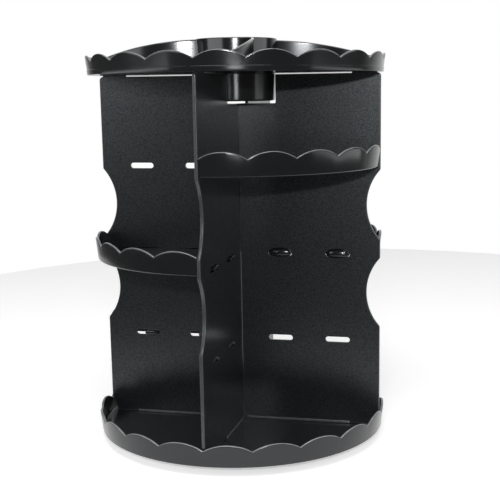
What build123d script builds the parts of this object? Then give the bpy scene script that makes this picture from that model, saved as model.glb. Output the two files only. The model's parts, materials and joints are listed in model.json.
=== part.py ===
from build123d import *
import os
from math import cos, radians, sqrt, tan

# Rotating makeup organizer: scalloped trays and two crossed panels that turn together on a ball race.
# Millimetres. The origin is on the table at the turning axis and +Z is up. One panel lies in the XZ
# plane, the other in the YZ plane, and the front of the organizer faces -Y.

# Clearances
running_gap = 0.3  # between flat faces that turn past each other
spindle_play = 0.05  # spindle in its bush, on the radius
seat_play = 0.05  # pieces pushed into a pocket or a bore, on the radius
panel_play = 0.15  # panels between ribs and in pockets, on each side
lap_play = 0.25  # panels in each other's slit, on each side
cutter_margin = 2.0  # how far a cutting tool reaches past what it cuts

# Base, feet and pivot
base_radius = 86.0
base_thickness = 2.5
base_edge_round = 0.8
foot_count = 6
foot_edge_margin = 13.0  # from the base's edge to a foot's centre
foot_radius = 6.0
foot_height = 2.5
foot_pocket_depth = 1.0
foot_edge_round = 0.6
spindle_radius = 6.0
bush_wall = 1.8
bush_flange_width = 3.0
bush_flange_thickness = 0.8
hub_wall = 8.0  # from the bush out to the rim of the hub
hub_thickness = 2.5
hub_skirt = 3.0  # wall between the recess under the hub and the hub's rim
washer_margin = 4.0  # how far the washer reaches past the bush
washer_thickness = 0.8
screw_radius = 1.75
screw_head_radius = 3.6
screw_head_height = 2.0
screw_slot_width = 0.9
screw_slot_depth = 0.8
screw_cover = 1.0  # plastic left between the screw's tip and the tray floor

# Ball race
ball_radius = 2.38
ball_count = 24
ball_play = 0.2  # between a ball and the bottom of each race
race_radius = 56.0
race_groove_radius = 2.65
lower_race_depth = 1.0
upper_race_depth = 0.4
cage_width = 9.0
cage_thickness = 2.0
cage_pocket_play = 0.15

# Scalloped rims, shared by all trays
scallop_count = 20
scallop_rise = 5.2
rim_flare = 1.8  # how far the wall leans out from its foot to its crest
wall = 2.0

# Bottom tray
bottom_radius = 113.8
bottom_valley_height = 12.2  # from the lower edge to a valley of the rim
bottom_floor = 2.0
bottom_round = 1.2
rib_height = 2.1
rib_width = 1.6
rib_start = 5.0
side_rib_end = 90.0  # ribs along the left-right panel
front_rib_end = 57.0  # ribs along the front-back panel

# Panels
panel_thickness = 2.5
panel_reach = 113.0  # from the axis to the outer edge
panel_height = 275.3
shoulder_clearance = 1.0  # above the valley of the bottom rim
foot_inset = 1.4  # from the bottom rim's wall, at the shoulder
foot_taper = 3.2  # how much narrower the foot is at the floor
corner_chamfer = 1.5
scoop_depth = 10.5
bump_below = 2.6  # straight edge kept below each slot's centre line
bump_above = 12.0  # and above it, beside the tray that hangs there
lap_height = 138.0  # from the floor to where the two panels meet
top_gap = 2.0  # between a panel's top edge and the top tray
tab_inner = 91.0
tab_outer = 110.0
tab_depth = 1.5  # how far a tab enters the top tray's floor
notch_side_gap = 1.9  # beside the brush cup
notch_under_gap = 3.1  # below the brush cup

# Slots that the quarter trays hang in
level_count = 3
first_level = 68.5  # from the floor to the centre of the lowest slots
level_pitch = 68.85
slot_length = 19.5
slot_height = 4.4
slot_inner_centre = 33.4
slot_spacing = 46.2
dimple_radius = 0.9
dimple_depth = 0.3

# Quarter trays
quarter_radius = 111.6
quarter_valley_height = 12.4
quarter_floor = 2.5
quarter_round = 1.2
quarter_side_gap = 0.65  # from a panel's face
quarter_corner = 4.0  # chamfer at the axis
quarter_drop = 0.4  # lower edge below the slots' centre line
tongue_width = 13.0
tongue_thickness = 3.8
tongue_root = 6.0
tongue_end_gap = 1.75  # at the slot's end nearer the axis
nose_width = 16.0
nose_rise = 4.4  # above the slot's centre line
nose_drop = 2.8  # below the slot's centre line
nose_length = 3.2
nose_gap = 0.2  # between the nose and the panel's far face
nose_round = 0.9
lug_width = 11.0
lug_end_gap = 0.4  # at the slot's end nearer the axis
lug_reach = 2.0  # past the panel's far face
lug_round = 0.6

# Top tray, brush cup and fins
top_radius = 113.8
top_valley_height = 9.3
top_floor = 3.0
top_round = 2.8
cup_top_radius = 32.0
cup_bottom_radius = 30.0
cup_height = 47.3
cup_below = 20.8  # part of the cup that hangs below the tray
cup_wall = 2.0
cup_floor = 2.5
fin_thickness = 2.0
fin_offset = 18.5  # sideways from the axis to a fin's two ends
fin_bow = 8.5  # how far the middle of a fin stands further out sideways than its ends
fin_cup_drop = 0.5  # below the cup's lip
fin_rim_height = 9.7  # above the tray's lower edge, at the rim
fin_bulge = 3.5  # how far the top edge rises above a straight line

# Heights that follow, from the table up
base_bottom = foot_height - foot_pocket_depth
base_top = base_bottom + base_thickness
ball_z = base_top - lower_race_depth + ball_play + ball_radius
bottom_edge = ball_z + ball_radius + ball_play - upper_race_depth
floor_top = bottom_edge + bottom_floor
hub_top = bottom_edge - running_gap - bush_flange_thickness
hub_under = hub_top - hub_thickness
spindle_end = hub_under - running_gap
bottom_valley = bottom_edge + bottom_valley_height
panel_top = floor_top + panel_height
lap_z = floor_top + lap_height
top_edge = panel_top + top_gap
cup_bottom = top_edge - cup_below
cup_top = cup_bottom + cup_height
levels = [floor_top + first_level + level_pitch * step for step in range(level_count)]

# Plan sizes that follow
half_panel = panel_thickness / 2
foot_ring_radius = base_radius - foot_edge_margin
bush_radius = spindle_radius + spindle_play + bush_wall
hub_radius = bush_radius + hub_wall
washer_radius = bush_radius + washer_margin
slot_centres = [slot_inner_centre, slot_inner_centre + slot_spacing]
dimple_x = slot_inner_centre + slot_spacing / 2
quarter_side = half_panel + quarter_side_gap
tongue_shift = slot_length / 2 - tongue_width / 2 - tongue_end_gap
lug_shift = slot_length / 2 - lug_width / 2 - lug_end_gap
scallop_angle = 360 / scallop_count

ON_TABLE = (Align.CENTER, Align.CENTER, Align.MIN)


def revolved(points):
    """Turn a closed outline of (radius, height) points about the axis."""
    return revolve(Plane.XZ * make_face(Polyline(*points, close=True)), Axis.Z)


def ring_places(count, radius, height):
    """Places evenly spaced on a circle about the axis."""
    return [Rot(0, 0, 360 / count * step) * Pos(radius, 0, height) for step in range(count)]


def scallop_cutters(radius, valley_z, count):
    """Wedges above the rim, each leaving one arched scallop between two sharp valleys."""
    half_angle = radians(scallop_angle / 2)
    lid_z = valley_z + scallop_rise + 2 * cutter_margin
    inner = (radius - wall) * cos(half_angle) - cutter_margin
    outer = radius + rim_flare + cutter_margin
    ends = []
    for reach in (inner, outer):
        half = reach * tan(half_angle)
        arch = ThreePointArc((-half, valley_z), (0, valley_z + scallop_rise), (half, valley_z))
        lid = Polyline((half, valley_z), (half, lid_z), (-half, lid_z), (-half, valley_z))
        ends.append(Plane.YZ.offset(reach) * make_face(arch + lid))
    wedge = loft(ends, ruled=True)
    return [Rot(0, 0, scallop_angle * (step + 0.5)) * wedge for step in range(count)]


def scalloped_tray(radius, edge_z, valley_height, floor, edge_round, count):
    """Round tray with a leaning wall, a rounded lower edge and a scalloped rim."""
    crest_height = valley_height + scallop_rise
    lean = rim_flare / crest_height
    rim_height = crest_height + cutter_margin
    rim_radius = radius + lean * rim_height
    outline = [
        (0, edge_z),
        (radius, edge_z),
        (rim_radius, edge_z + rim_height),
        (rim_radius - wall, edge_z + rim_height),
        (radius - wall + lean * floor, edge_z + floor),
        (0, edge_z + floor),
    ]
    section = make_face(Polyline(*outline, close=True))
    corner = section.vertices().sort_by_distance((radius, edge_z))[0]
    section = fillet(corner, edge_round)
    return revolve(Plane.XZ * section, Axis.Z) - scallop_cutters(radius, edge_z + valley_height, count)


def make_base_plate():
    """Round foot plate with a raised hub, a ball groove and pockets for the feet."""
    plate = Pos(0, 0, base_bottom) * Cylinder(base_radius, base_thickness, align=ON_TABLE)
    plate = fillet(plate.edges().filter_by(GeomType.CIRCLE), base_edge_round)
    plate += Pos(0, 0, base_bottom) * Cylinder(hub_radius, hub_top - base_bottom, align=ON_TABLE)
    recess_depth = hub_under - base_bottom
    plate -= Pos(0, 0, base_bottom) * Cylinder(hub_radius - hub_skirt, recess_depth, align=ON_TABLE)
    plate -= Pos(0, 0, hub_under) * Cylinder(bush_radius + seat_play, hub_thickness, align=ON_TABLE)
    groove_z = base_top - lower_race_depth + race_groove_radius
    plate -= Pos(0, 0, groove_z) * Torus(race_radius, race_groove_radius)
    pocket = Cylinder(foot_radius + seat_play, foot_pocket_depth, align=ON_TABLE)
    for place in ring_places(foot_count, foot_ring_radius, base_bottom):
        plate -= place * pocket
    return plate


def make_foot():
    """Rubber disc with a rounded lower edge."""
    foot = Cylinder(foot_radius, foot_height, align=ON_TABLE)
    lower_edge = foot.edges().filter_by(GeomType.CIRCLE).sort_by(Axis.Z)[0]
    return fillet(lower_edge, foot_edge_round)


def make_pivot_bush():
    """Sleeve in the hub's bore, with a flange on top of the hub."""
    bore = spindle_radius + spindle_play
    flange = bush_radius + bush_flange_width
    flange_top = hub_top + bush_flange_thickness
    outline = [
        (bore, hub_under),
        (bush_radius, hub_under),
        (bush_radius, hub_top),
        (flange, hub_top),
        (flange, flange_top),
        (bore, flange_top),
    ]
    return revolved(outline)


def make_ball_cage():
    """Flat ring with one round pocket for each ball."""
    cage_z = base_top + running_gap
    half_width = cage_width / 2
    cage = Pos(0, 0, cage_z) * Cylinder(race_radius + half_width, cage_thickness, align=ON_TABLE)
    cage -= Pos(0, 0, cage_z) * Cylinder(race_radius - half_width, cage_thickness, align=ON_TABLE)
    pocket = Cylinder(ball_radius + cage_pocket_play, cage_thickness, align=ON_TABLE)
    for place in ring_places(ball_count, race_radius, cage_z):
        cage -= place * pocket
    return cage


def make_bearing_balls():
    """One ball in each pocket of the cage."""
    places = ring_places(ball_count, race_radius, ball_z)
    return Compound([place * Sphere(ball_radius) for place in places])


def make_pivot_washer():
    """Plain washer that holds the hub up against the spindle's end."""
    washer = Cylinder(washer_radius, washer_thickness, align=ON_TABLE)
    washer -= Cylinder(screw_radius + seat_play, washer_thickness, align=ON_TABLE)
    return Pos(0, 0, spindle_end - washer_thickness) * washer


def make_pivot_screw():
    """Pan-head screw driven up into the spindle."""
    head_top = spindle_end - washer_thickness
    head_z = head_top - screw_head_height
    tip = floor_top - screw_cover - seat_play
    screw = Pos(0, 0, head_z) * Cylinder(screw_head_radius, screw_head_height, align=ON_TABLE)
    lower_edge = screw.edges().filter_by(GeomType.CIRCLE).sort_by(Axis.Z)[0]
    screw = fillet(lower_edge, screw_head_height / 2)
    screw += Pos(0, 0, head_top) * Cylinder(screw_radius, tip - head_top, align=ON_TABLE)
    slot = Box(2 * screw_head_radius, screw_slot_width, screw_slot_depth, align=ON_TABLE)
    return screw - Pos(0, 0, head_z) * slot


def make_bottom_tray():
    """Tray with the upper race and the spindle below it, and ribs that hold the panels' feet."""
    tray = scalloped_tray(
        bottom_radius, bottom_edge, bottom_valley_height, bottom_floor, bottom_round, scallop_count
    )
    groove_z = bottom_edge + upper_race_depth - race_groove_radius
    tray -= Pos(0, 0, groove_z) * Torus(race_radius, race_groove_radius)
    tray += Pos(0, 0, spindle_end) * Cylinder(spindle_radius, floor_top - spindle_end, align=ON_TABLE)
    pilot_depth = floor_top - screw_cover - spindle_end
    tray -= Pos(0, 0, spindle_end) * Cylinder(screw_radius + seat_play, pilot_depth, align=ON_TABLE)
    rib_side = half_panel + panel_play
    for turn, rib_end in zip((0, 90, 180, 270), 2 * (side_rib_end, front_rib_end)):
        rib = Box(rib_end - rib_start, rib_width, rib_height, align=(Align.MIN, Align.MIN, Align.MIN))
        for side in (rib_side, -rib_side - rib_width):
            tray += Rot(0, 0, turn) * Pos(rib_start, side, floor_top) * rib
    return tray


def panel_half_face():
    """One half of a panel, from the axis to its scooped outer edge."""
    shoulder = bottom_valley + shoulder_clearance
    lean = rim_flare / (bottom_valley_height + scallop_rise)
    shoulder_reach = bottom_radius - wall + lean * (shoulder - bottom_edge) - foot_inset
    foot_reach = shoulder_reach - foot_taper
    notch_half = cup_radius_at(top_edge) + notch_side_gap
    notch_z = cup_bottom - notch_under_gap
    foot = [(0, floor_top), (foot_reach, floor_top), (shoulder_reach, shoulder), (panel_reach, shoulder)]
    edges = [Polyline(*foot)]
    edge_z = shoulder
    for lower, upper in zip(levels, levels[1:]):
        scoop_low = lower + bump_above
        scoop_high = upper - bump_below
        deepest = (panel_reach - scoop_depth, (scoop_low + scoop_high) / 2)
        edges.append(Line((panel_reach, edge_z), (panel_reach, scoop_low)))
        edges.append(ThreePointArc((panel_reach, scoop_low), deepest, (panel_reach, scoop_high)))
        edge_z = scoop_high
    edges.append(
        Polyline(
            (panel_reach, edge_z),
            (panel_reach, panel_top - corner_chamfer),
            (panel_reach - corner_chamfer, panel_top),
            (tab_outer, panel_top),
            (tab_outer, top_edge + tab_depth),
            (tab_inner, top_edge + tab_depth),
            (tab_inner, panel_top),
            (notch_half, panel_top),
            (notch_half, notch_z),
            (0, notch_z),
            (0, floor_top),
        )
    )
    return make_face(Curve() + edges)


def cup_radius_at(height):
    """Outer radius of the tapered brush cup at a height."""
    taper = (cup_top_radius - cup_bottom_radius) / cup_height
    return cup_bottom_radius + taper * (height - cup_bottom)


def make_panel(lap_from, lap_to):
    """Panel across the whole organizer, slotted for the trays and slit between two heights."""
    half = panel_half_face()
    face = half + mirror(half, Plane.YZ)
    slot = SlotOverall(slot_length, slot_height)
    for level in levels:
        for centre in slot_centres:
            face -= [Pos(centre, level) * slot, Pos(-centre, level) * slot]
    panel = extrude(Plane.XZ * face, half_panel, both=True)
    dimple = Rot(90, 0, 0) * Cylinder(dimple_radius, dimple_depth)
    for level in levels:
        for side in (dimple_x, -dimple_x):
            for cheek in (half_panel, -half_panel):
                panel -= Pos(side, cheek, level) * dimple
    slit = Box(panel_thickness + 2 * lap_play, panel_thickness, lap_to - lap_from, align=ON_TABLE)
    return panel - Pos(0, 0, lap_from) * slit


def slot_bar(width, reach):
    """Bar with rounded sides that rests in a slot, from inside the tray's floor along -Y to a reach."""
    rest = (tongue_thickness - slot_height) / 2 + seat_play
    root = quarter_side + tongue_root
    section = Pos(0, rest) * SlotOverall(width, tongue_thickness)
    return extrude(Plane.XZ.offset(-root) * section, root + reach)


def make_tongue(level):
    """Tongue through a slot, with a rounded nose that keeps it behind the panel."""
    nose_start = half_panel + nose_gap
    left = (-nose_width / 2, 0)
    right = (nose_width / 2, 0)
    crown = ThreePointArc(left, (0, nose_rise), right)
    belly = ThreePointArc(right, (0, -nose_drop), left)
    nose = extrude(Plane.XZ.offset(nose_start) * make_face(crown + belly), nose_length)
    front = nose.faces().sort_by(Axis.Y)[0]
    nose = fillet(front.edges(), nose_round)
    return Pos(0, 0, level) * (slot_bar(tongue_width, nose_start) + nose)


def make_lug(level):
    """Plain lug through a slot, with its end rounded."""
    lug = slot_bar(lug_width, half_panel + lug_reach)
    end = lug.faces().sort_by(Axis.Y)[0]
    return Pos(0, 0, level) * fillet(end.edges(), lug_round)


def make_quarter_tray(turn, level):
    """Quarter-round tray with tongues on one side and lugs on the other, turned into its bay."""
    edge_z = level - quarter_drop
    tray = scalloped_tray(
        quarter_radius, edge_z, quarter_valley_height, quarter_floor, quarter_round, scallop_count // 4
    )
    far = quarter_radius + rim_flare + cutter_margin
    bay = Polyline(
        (quarter_side + quarter_corner, quarter_side),
        (far, quarter_side),
        (far, far),
        (quarter_side, far),
        (quarter_side, quarter_side + quarter_corner),
        close=True,
    )
    bay_height = quarter_valley_height + scallop_rise
    tray &= Pos(0, 0, edge_z) * extrude(make_face(bay), bay_height)
    for centre in slot_centres:
        tray += Pos(centre - tongue_shift, 0, 0) * make_tongue(level)
        tray += Pos(0, centre - lug_shift, 0) * Rot(0, 0, -90) * make_lug(level)
    return Rot(0, 0, turn) * tray


def make_fin():
    """Upright fin, bowed sideways, from the cup to the rim, in the bay that looks along -Y."""
    lean = rim_flare / (top_valley_height + scallop_rise)
    rim_inside = top_radius - wall + lean * top_floor
    half = fin_thickness / 2
    fin_edge = fin_offset + half
    cup_y = -sqrt((cup_bottom_radius - cup_wall / 2) ** 2 - fin_edge**2)
    rim_y = -sqrt((rim_inside + wall / 2) ** 2 - fin_edge**2)
    cup_end = (cup_y, cup_top - fin_cup_drop)
    rim_end = (rim_y, top_edge + fin_rim_height)
    middle_y = (cup_y + rim_y) / 2
    crown = (middle_y, (cup_end[1] + rim_end[1]) / 2 + fin_bulge)
    base_z = top_edge + top_floor / 2
    foot = Polyline(cup_end, (cup_y, base_z), (rim_y, base_z), rim_end)
    outline = ThreePointArc(rim_end, crown, cup_end) + foot
    slab = extrude(Plane.YZ * make_face(outline), fin_bow + fin_thickness, both=True)
    plan = ThreePointArc((-half, cup_y), (fin_bow - half, middle_y), (-half, rim_y))
    plan += Line((-half, rim_y), (half, rim_y))
    plan += ThreePointArc((half, rim_y), (fin_bow + half, middle_y), (half, cup_y))
    plan += Line((half, cup_y), (-half, cup_y))
    strip = Pos(0, 0, base_z) * extrude(make_face(plan), cup_height)
    return Pos(fin_offset, 0, 0) * (slab & strip)


def make_top_tray():
    """Tray with the brush cup through its middle, pinwheel fins and pockets for the panels' tabs."""
    tray = scalloped_tray(top_radius, top_edge, top_valley_height, top_floor, top_round, scallop_count)
    cup = [(0, cup_bottom), (cup_bottom_radius, cup_bottom), (cup_top_radius, cup_top), (0, cup_top)]
    tray += revolved(cup)
    for turn in range(4):
        tray += Rot(0, 0, 90 * turn) * make_fin()
    hollow_floor = cup_bottom + cup_floor
    hollow_foot = cup_radius_at(hollow_floor) - cup_wall
    hollow_lip = cup_top_radius - cup_wall
    tray -= revolved([(0, hollow_floor), (hollow_foot, hollow_floor), (hollow_lip, cup_top), (0, cup_top)])
    pocket_length = tab_outer - tab_inner + 2 * panel_play
    pocket = Box(pocket_length, panel_thickness + 2 * panel_play, tab_depth, align=ON_TABLE)
    for turn in range(4):
        tray -= Rot(0, 0, 90 * turn) * Pos((tab_inner + tab_outer) / 2, 0, top_edge) * pocket
    return tray


# The quarter trays, bay by bay round the axis, each with the level of the slots that it hangs in
quarter_trays = [
    ("tray_back_right", levels[1]),
    ("tray_back_left", levels[0]),
    ("tray_front_left", levels[1]),
    ("tray_front_right", levels[-1]),
]

nodes = {
    "base_plate": make_base_plate(),
    "pivot_bush": make_pivot_bush(),
    "ball_cage": make_ball_cage(),
    "bearing_balls": make_bearing_balls(),
    "pivot_washer": make_pivot_washer(),
    "pivot_screw": make_pivot_screw(),
    "bottom_tray": make_bottom_tray(),
    "panel_left_right": make_panel(floor_top, lap_z),
    "panel_front_back": Rot(0, 0, 90) * make_panel(lap_z, panel_top),
    "top_tray": make_top_tray(),
}
for number, place in enumerate(ring_places(foot_count, foot_ring_radius, 0), start=1):
    nodes[f"rubber_foot_{number}"] = place * make_foot()
for bay, (name, level) in enumerate(quarter_trays):
    nodes[name] = make_quarter_tray(90 * bay, level)

os.makedirs("parts", exist_ok=True)
for name, solid in nodes.items():
    export_step(solid, f"parts/{name}.step")
print(f"{len(nodes)} nodes, {cup_top:.2f} mm high, tray floor at {floor_top:.2f} mm")
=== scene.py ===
# %% [markdown]
# # Dressing a rotating makeup organizer
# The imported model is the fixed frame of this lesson: every piece made here is in metres, in the model's own
# axes, with the turning axis on Z and the front towards -Y. The model says where things are and how they
# move. What is left to Blender is how moulded black plastic looks: soft edges, a satin grain and reflections.

# %% Load the frame
import json
from collections import namedtuple

import bmesh
import bpy
import numpy as np
from mathutils import Matrix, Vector
from mathutils.geometry import tessellate_polygon


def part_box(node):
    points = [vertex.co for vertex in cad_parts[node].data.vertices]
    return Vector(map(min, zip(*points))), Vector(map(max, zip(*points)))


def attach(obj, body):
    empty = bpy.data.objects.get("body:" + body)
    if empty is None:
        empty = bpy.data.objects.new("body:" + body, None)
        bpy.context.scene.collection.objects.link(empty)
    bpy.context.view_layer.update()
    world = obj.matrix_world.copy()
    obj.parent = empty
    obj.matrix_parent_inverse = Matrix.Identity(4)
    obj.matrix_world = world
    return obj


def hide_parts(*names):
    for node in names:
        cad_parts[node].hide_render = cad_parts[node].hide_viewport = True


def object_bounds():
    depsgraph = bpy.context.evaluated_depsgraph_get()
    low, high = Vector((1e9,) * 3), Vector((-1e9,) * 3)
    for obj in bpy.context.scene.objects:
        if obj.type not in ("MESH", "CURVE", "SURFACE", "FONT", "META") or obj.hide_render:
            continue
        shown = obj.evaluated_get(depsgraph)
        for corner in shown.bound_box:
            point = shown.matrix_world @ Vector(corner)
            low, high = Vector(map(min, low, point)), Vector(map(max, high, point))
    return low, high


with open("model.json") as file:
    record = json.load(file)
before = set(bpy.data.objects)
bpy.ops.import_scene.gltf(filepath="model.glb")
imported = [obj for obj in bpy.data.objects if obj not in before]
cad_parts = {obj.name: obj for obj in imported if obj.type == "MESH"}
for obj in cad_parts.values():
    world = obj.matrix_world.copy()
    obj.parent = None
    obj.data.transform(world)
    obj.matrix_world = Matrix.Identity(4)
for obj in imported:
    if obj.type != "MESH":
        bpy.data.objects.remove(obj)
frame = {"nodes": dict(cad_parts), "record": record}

mm = 0.001
cad_low, cad_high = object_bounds()
print("model", [round(size / mm, 1) for size in cad_high - cad_low], "mm, nodes", len(frame["nodes"]))

# %% [markdown]
# ## The camera
# The first thing to settle is the view, because every later judgement is made through it. A camera was
# fitted to the rims and panel edges of the photograph, and its numbers are kept here: where it stands round
# the turning axis, how high, and how far it leans. The slight shift stands for a picture that was cropped
# off centre.

# %% Camera
camera_azimuth = 0.2562
camera_distance = 807.4 * mm
camera_height = 272.5 * mm
camera_yaw = -0.0320
camera_pitch = 0.1784
camera_roll = -0.0133
picture_size = 500
focal_pixels = 1017.6
centre_pixel = np.array([272.0, 276.0])


def stand(thing, place, right, up, back):
    """Put a camera or a light into the scene at a place, with its own axes along right, up and back."""
    turn = Matrix(np.column_stack([right, up, back]).tolist()).to_4x4()
    thing.matrix_world = Matrix.Translation(place) @ turn
    bpy.context.scene.collection.objects.link(thing)


heading = camera_azimuth + camera_yaw
forward = np.array([
    -np.sin(heading) * np.cos(camera_pitch),
    np.cos(heading) * np.cos(camera_pitch),
    -np.sin(camera_pitch),
])
level_right = np.array([np.cos(heading), np.sin(heading), 0.0])
level_up = np.cross(level_right, forward)
right = np.cos(camera_roll) * level_right + np.sin(camera_roll) * level_up
up = np.cos(camera_roll) * level_up - np.sin(camera_roll) * level_right
place = (
    camera_distance * np.sin(camera_azimuth),
    -camera_distance * np.cos(camera_azimuth),
    camera_height,
)

camera = bpy.data.objects.new("camera", bpy.data.cameras.new("camera"))
stand(camera, place, right, up, -forward)
bpy.context.scene.camera = camera
camera.data.sensor_width = 36.0
camera.data.lens = focal_pixels / picture_size * camera.data.sensor_width
camera.data.shift_x, camera.data.shift_y = (centre_pixel - picture_size / 2) / picture_size * (-1, 1)
camera.data.clip_start = 0.01
print("lens", round(camera.data.lens, 1), "mm")

# %% [markdown]
# ## Tools for node trees
# Every effect below is a small net of nodes, and the same few moves come back: set a socket, do a sum, mix
# two values, sample noise. Each gets a short helper, so that an effect reads like a recipe. An effect that
# serves several finishes is a node group, built once and placed in each material with its own values.

# %% Node helpers


def give(tree, socket, value):
    """Give one socket its value: a number or colour is set on it, another node's output is linked to it."""
    if isinstance(value, bpy.types.NodeSocket):
        tree.links.new(value, socket)
    else:
        socket.default_value = value


def feed(tree, node, **values):
    """Give several inputs of a node their values; an underscore in a name stands for a space."""
    for name, value in values.items():
        give(tree, node.inputs[name.replace("_", " ")], value)


def worked(tree, operation, *operands):
    """Result of one Math node; each operand is a number or another node's output."""
    node = tree.nodes.new("ShaderNodeMath")
    node.operation = operation
    for socket, value in zip(node.inputs, operands):
        give(tree, socket, value)
    return node.outputs[0]


def between(tree, factor, below, above, kind="FLOAT"):
    """Mix of two numbers, or of two colours where the kind is RGBA: below at factor 0, above at 1."""
    node = tree.nodes.new("ShaderNodeMix")
    node.data_type = kind
    feed(tree, node, Factor=factor, A=below, B=above)
    return node.outputs["Result"]


def noise(tree, position, scale, detail=2.0, roughness=0.5):
    """Noise value at a position, with about as many waves per metre as the scale says."""
    node = tree.nodes.new("ShaderNodeTexNoise")
    feed(tree, node, Vector=position, Scale=scale, Detail=detail, Roughness=roughness)
    return node.outputs["Fac"]


def new_group(name, inputs, outputs):
    """Empty node group with number inputs and outputs. Returns the group, the values that enter it, the
    node that its results leave by, and the Object coordinates inside it."""
    group = bpy.data.node_groups.new(name, "ShaderNodeTree")
    for label, default in inputs.items():
        socket = group.interface.new_socket(name=label, in_out="INPUT", socket_type="NodeSocketFloat")
        socket.default_value = default
    for label in outputs:
        group.interface.new_socket(name=label, in_out="OUTPUT", socket_type="NodeSocketFloat")
    entry, leave = group.nodes.new("NodeGroupInput"), group.nodes.new("NodeGroupOutput")
    return group, entry.outputs, leave, group.nodes.new("ShaderNodeTexCoord").outputs["Object"]


print("node helpers ready")

# %% [markdown]
# ## Painted edge highlights
# Lips and panel edges are painted a paler grey. This is a painted highlight that stands in for the thin
# glints of light along them, not wear. Such edges are often found with a bevel trick in the shader, but the
# formulas below know exactly which points lie on an edge, so each piece carries an attribute that is 1 there.
# The group only breaks that clean line up with noise.

# %% Painted edge highlights


def build_painted_highlight_group():
    """Mask of the painted edge highlight: the edge attribute, times noise plus a half, times the wanted
    amount.
    """
    group, entry, leave, position = new_group(
        "painted_edge_highlight", {"Amount": 0.5, "Breaks per metre": 240.0}, ["Mask"]
    )
    edge = group.nodes.new("ShaderNodeAttribute")
    edge.attribute_name = "edge"
    breaks = noise(group, position, entry["Breaks per metre"], detail=3.0)
    uneven = worked(group, "MULTIPLY", edge.outputs["Fac"], worked(group, "ADD", breaks, 0.5))
    feed(group, leave, Mask=worked(group, "MULTIPLY", uneven, entry["Amount"]))
    return group


painted_highlight_group = build_painted_highlight_group()
print("node group", painted_highlight_group.name)

# %% [markdown]
# ## Moulded grain
# The panels carry the fine spark-eroded grain of their mould. Up close it is a relief, and from further away
# it is a sparkle, since each grain sends back a little more or less light. So one noise gives two outputs: a
# height for the bump, and a gloss that is spread about a half.

# %% Moulded grain


def build_grain_group():
    """Moulded grain: fine noise as a height, and that noise less a half, times the spread, plus a half as
    a gloss that is kept between 0 and 1."""
    group, entry, leave, position = new_group(
        "moulded_grain", {"Grain per metre": 1500.0, "Spread": 0.1}, ["Height", "Gloss"]
    )
    height = noise(group, position, entry["Grain per metre"], detail=3.0, roughness=0.6)
    centred = worked(group, "SUBTRACT", height, 0.5)
    gloss = worked(group, "MULTIPLY_ADD", centred, entry["Spread"], 0.5)
    gloss.node.use_clamp = True
    feed(group, leave, Height=height, Gloss=gloss)
    return group


grain_group = build_grain_group()
print("node group", grain_group.name)

# %% [markdown]
# ## Handling marks
# Moulded plastic is never one even black: every part has been handled, so tone and gloss drift a little, and
# thin streaks stay where pieces were slid in and out. Broad noise makes the drift. The streaks are noise
# that is stretched along a slanted direction and kept only where it is high.

# %% Handling marks
streak_turn = (0.3, 0.2, 0.4)
streak_stretch = (1.0, 1.0, 0.06)
streak_faint, streak_clear = 0.62, 0.74


def build_handling_group():
    """Handling marks: broad noise as patches, and stretched noise cut off between two levels as streaks."""
    group, entry, leave, position = new_group(
        "handling_marks", {"Patches per metre": 22.0, "Streaks per metre": 160.0}, ["Patches", "Streaks"]
    )
    drawn = group.nodes.new("ShaderNodeMapping")
    feed(group, drawn, Vector=position, Rotation=streak_turn, Scale=streak_stretch)
    streaks = noise(group, drawn.outputs["Vector"], entry["Streaks per metre"], detail=4.0, roughness=0.7)
    sharp = group.nodes.new("ShaderNodeMapRange")
    feed(group, sharp, Value=streaks, From_Min=streak_faint, From_Max=streak_clear)
    patches = noise(group, position, entry["Patches per metre"])
    feed(group, leave, Patches=patches, Streaks=sharp.outputs["Result"])
    return group


handling_group = build_handling_group()
print("node group", handling_group.name)

# %% [markdown]
# ## The finishes
# One function makes every finish here: two close tones that drift into each other over the handling patches,
# a paler tone painted on edges as a highlight, a roughness that patches and streaks make uneven, and the
# grain as a bump.
# The panels are satin, and half of their gloss is a coat whose weight follows the grain, which gives the
# sparkle without roughening the reflections. The trays are smoother and glossier and have no grain, the base
# is matt. Steel and rubber follow the same plan with other numbers.

# %% Materials
# Pale grey painted on lips and edges as a highlight, in place of the glints of light along them
painted_highlight_tone = (0.30, 0.31, 0.32, 1.0)
half_gloss = 0.25


def place_group(tree, group, **values):
    """Outputs of a node that holds a shared group, with its own input values."""
    node = tree.nodes.new("ShaderNodeGroup")
    node.node_tree = group
    feed(tree, node, **values)
    return node.outputs


def finish(name, dark, light, roughness, uneven, grain=0.0, bump=0.0, spread=0.0, painted_highlight=0.0, **sockets):
    """Principled material: two tones mixed by patches and paler on edges as a painted highlight, and a
    roughness from handling. A grain adds its bump, and with a spread half of the gloss is a coat that follows
    it."""
    material = bpy.data.materials.new(name)
    material.use_nodes = True
    tree = material.node_tree
    shader = tree.nodes["Principled BSDF"]
    marks = place_group(tree, handling_group)
    edges = place_group(tree, painted_highlight_group, Amount=painted_highlight)
    tone = between(tree, marks["Patches"], (*dark, 1.0), (*light, 1.0), "RGBA")
    # Edges are mixed towards the pale grey: a painted highlight, not wear
    highlighted_tone = between(tree, edges["Mask"], tone, painted_highlight_tone, "RGBA")
    drift = worked(tree, "MULTIPLY", worked(tree, "SUBTRACT", marks["Patches"], 0.5), uneven)
    streaked = worked(tree, "MULTIPLY_ADD", marks["Streaks"], uneven / 3, drift)
    feed(tree, shader, Base_Color=highlighted_tone, Roughness=worked(tree, "ADD", streaked, roughness), **sockets)
    if not grain:
        return material
    fine = place_group(tree, grain_group, Grain_per_metre=grain, Spread=spread)
    relief = tree.nodes.new("ShaderNodeBump")
    feed(tree, relief, Strength=1.0, Distance=bump, Height=fine["Height"])
    feed(tree, shader, Normal=relief.outputs["Normal"])
    if spread:
        feed(tree, shader, Coat_Weight=fine["Gloss"], Coat_Roughness=roughness, Coat_IOR=sockets["IOR"])
        feed(tree, shader, Specular_IOR_Level=half_gloss)
    return material


# Tray lips carry a strong painted highlight, panel edges a faint one; the other finishes have none
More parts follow.
